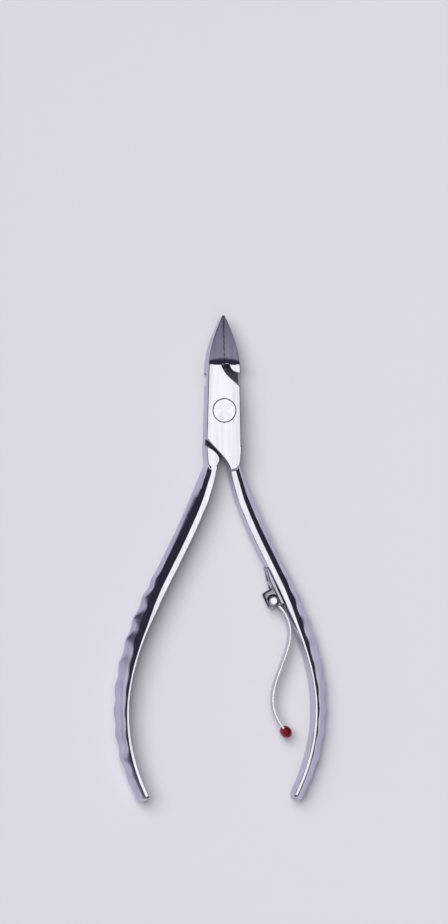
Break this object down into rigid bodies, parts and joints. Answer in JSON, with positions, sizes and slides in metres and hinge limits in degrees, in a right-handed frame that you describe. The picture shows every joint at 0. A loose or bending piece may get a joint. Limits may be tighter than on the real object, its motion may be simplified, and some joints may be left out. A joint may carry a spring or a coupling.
{
  "type": "cuticle nipper",
  "caption": "Cuticle nipper with lap-jointed levers, hollow-ground jaws, bowed handles with finger waves, and a fold-away leaf spring tipped with a bead.",
  "frame": {"origin": "on the surface the nipper lies on, under the middle of its outline", "axes": "+X across the handles, to the right seen from the front; +Y from the handle ends to the blade tips; +Z through the thickness, towards the front"},
  "size_m": [0.049, 0.11, 0.0058],
  "materials": {
    "lever_steel": "polished stainless steel",
    "rivet_steel": "polished flush with the plate",
    "bracket_steel": "satin folded sheet",
    "spring_steel": "bright spring steel",
    "bead_plastic": "gloss dark red"
  },
  "bodies": {
    "front_lever": {"front_lever": "lever_steel", "pivot_rivet": "rivet_steel", "spring_bracket": "bracket_steel", "bracket_rivet": "rivet_steel", "spring_pin": "rivet_steel"},
    "rear_lever": {"rear_lever": "lever_steel"},
    "spring": {"return_spring": "spring_steel", "spring_tip": "bead_plastic"}
  },
  "joints": [
    {"name": "jaw_pivot", "type": "hinge", "parent": "front_lever", "child": "rear_lever", "pos_m": [0, 0.0334, 0.0029], "axis": [0, 0, -1], "range_deg": [0, 28]},
    {"name": "spring_swing", "type": "hinge", "parent": "front_lever", "child": "spring", "pos_m": [0.01173, -0.0096, 0.0029], "axis": [0, 0, -1], "range_deg": [0, 74]}
  ]
}
